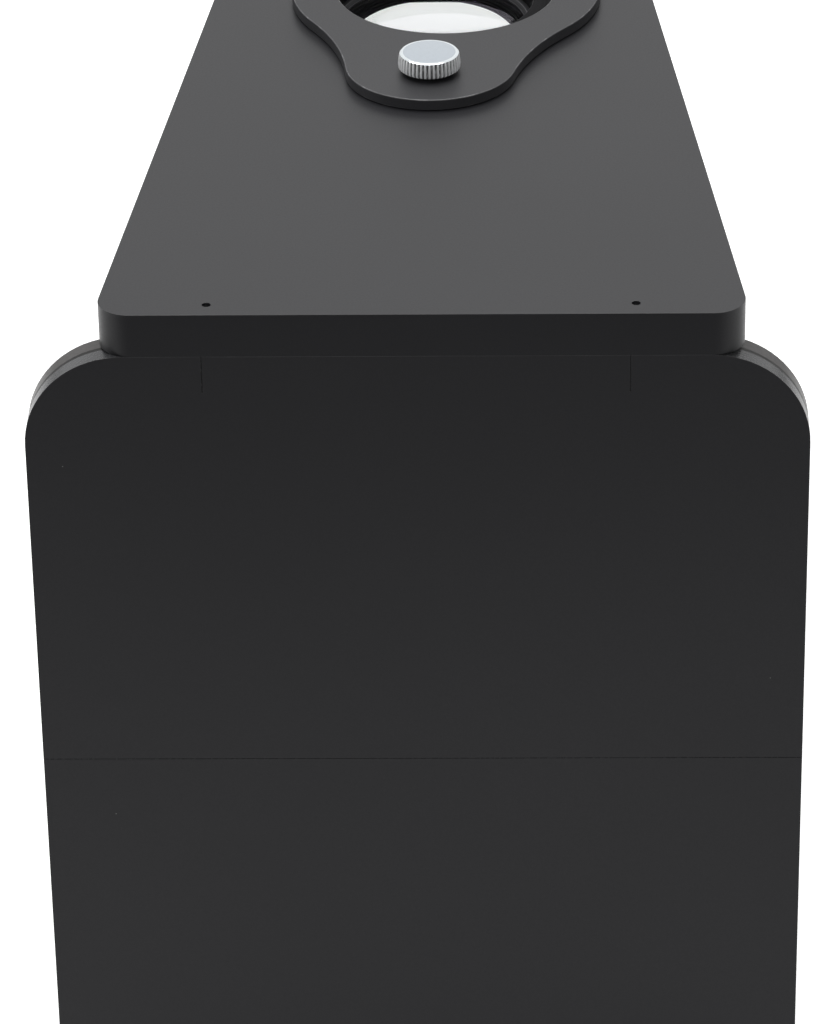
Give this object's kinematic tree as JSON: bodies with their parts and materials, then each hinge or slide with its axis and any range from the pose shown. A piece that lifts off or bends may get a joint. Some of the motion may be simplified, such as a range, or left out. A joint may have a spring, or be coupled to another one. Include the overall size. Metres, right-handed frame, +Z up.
{
  "type": "mirror stereoscope",
  "caption": "Table-top mirror stereoscope: a waisted board on folding end panels, with swing plates over its eye lenses, knurled thumb screws, prisms and sloping mirrors.",
  "frame": {"origin": "on the table, under the middle of the instrument", "axes": "+Z up; +Y along the board, from the near (pictured) end to the far end; +X to the right as seen from the near end"},
  "size_m": [0.1378, 0.331, 0.2061],
  "materials": {
    "black_sheet": "satin black, very fine grain",
    "swing_plate": "satin black enamel",
    "chrome": "bright plated, knurled rim",
    "washer_fibre": "matt black fibre",
    "insert_brass": "turned",
    "black_cell": "black, semi-matt",
    "lens_glass": "polished, with a faint violet coating",
    "prism_glass": "polished, edges ground",
    "mirror": "silvered glass",
    "backing_board": "dark stained board",
    "hinge_steel": "plated, brushed",
    "screw_steel": "zinc plated",
    "dowel_steel": "drawn wire, cut ends",
    "bracket_aluminium": "drawn angle, natural",
    "foot_rubber": "matt black"
  },
  "bodies": {
    "frame": {"top_board": "black_sheet", "near_panel_outer_sheet": "black_sheet", "near_panel_inner_sheet": "black_sheet", "near_dowel_pins": "dowel_steel", "near_upper_hinge_leaves": "hinge_steel", "near_hinge_pins": "hinge_steel", "near_threaded_insert": "insert_brass", "near_lens_cell": "black_cell", "near_lens": "lens_glass", "near_retaining_ring": "black_cell", "near_prism": "prism_glass", "near_left_prism_plate": "black_cell", "near_right_prism_plate": "black_cell", "near_large_mirror": "mirror", "near_mirror_backing": "backing_board", "near_left_cheek": "black_sheet", "near_right_cheek": "black_sheet", "far_panel_outer_sheet": "black_sheet", "far_panel_inner_sheet": "black_sheet", "far_dowel_pins": "dowel_steel", "far_upper_hinge_leaves": "hinge_steel", "far_hinge_pins": "hinge_steel", "far_threaded_insert": "insert_brass", "far_lens_cell": "black_cell", "far_lens": "lens_glass", "far_retaining_ring": "black_cell", "far_prism": "prism_glass", "far_left_prism_plate": "black_cell", "far_right_prism_plate": "black_cell", "far_large_mirror": "mirror", "far_mirror_backing": "backing_board", "far_left_cheek": "black_sheet", "far_right_cheek": "black_sheet", "upper_hinge_screws": "screw_steel", "prism_plate_screws": "screw_steel", "cheek_brackets": "bracket_aluminium", "cheek_bracket_screws": "screw_steel"},
    "near_leg": {"near_leg_outer_sheet": "black_sheet", "near_leg_inner_sheet": "black_sheet", "near_foot_strip": "foot_rubber", "near_lower_hinge_leaves": "hinge_steel", "near_leg_hinge_screws": "screw_steel"},
    "far_leg": {"far_leg_outer_sheet": "black_sheet", "far_leg_inner_sheet": "black_sheet", "far_foot_strip": "foot_rubber", "far_lower_hinge_leaves": "hinge_steel", "far_leg_hinge_screws": "screw_steel"},
    "near_lens_plate": {"near_lens_plate": "swing_plate"},
    "far_lens_plate": {"far_lens_plate": "swing_plate"},
    "near_washer": {"near_screw_washer": "washer_fibre"},
    "far_washer": {"far_screw_washer": "washer_fibre"},
    "near_thumb_screw": {"near_thumb_screw": "chrome"},
    "far_thumb_screw": {"far_thumb_screw": "chrome"}
  },
  "joints": [
    {"name": "near_leg_fold", "type": "hinge", "parent": "frame", "child": "near_leg", "pos_m": [0, -0.15525, 0.1091], "axis": [1, 0, 0], "range_deg": [0, 138]},
    {"name": "near_plate_swing", "type": "hinge", "parent": "frame", "child": "near_lens_plate", "pos_m": [0.001, -0.0709, 0.2], "axis": [0, 0, 1], "continuous": true},
    {"name": "near_screw_lift", "type": "slide", "parent": "frame", "child": "near_washer", "axis": [0, 0, 1], "range_m": [0, 0.0014]},
    {"name": "near_screw_turn", "type": "hinge", "parent": "near_washer", "child": "near_thumb_screw", "pos_m": [0.001, -0.0709, 0.2], "axis": [0, 0, 1], "range_deg": [0, 720]},
    {"name": "far_leg_fold", "type": "hinge", "parent": "frame", "child": "far_leg", "pos_m": [0, 0.15525, 0.1091], "axis": [-1, 0, 0], "range_deg": [0, 138]},
    {"name": "far_plate_swing", "type": "hinge", "parent": "frame", "child": "far_lens_plate", "pos_m": [0.001, 0.0709, 0.2], "axis": [0, 0, 1], "continuous": true},
    {"name": "far_screw_lift", "type": "slide", "parent": "frame", "child": "far_washer", "axis": [0, 0, 1], "range_m": [0, 0.0014]},
    {"name": "far_screw_turn", "type": "hinge", "parent": "far_washer", "child": "far_thumb_screw", "pos_m": [0.001, 0.0709, 0.2], "axis": [0, 0, 1], "range_deg": [0, 720]}
  ],
  "couplings": [
    {"joint": "near_screw_turn", "follows": "near_screw_lift", "rad_per_m": 8976},
    {"joint": "far_screw_turn", "follows": "far_screw_lift", "rad_per_m": 8976}
  ]
}
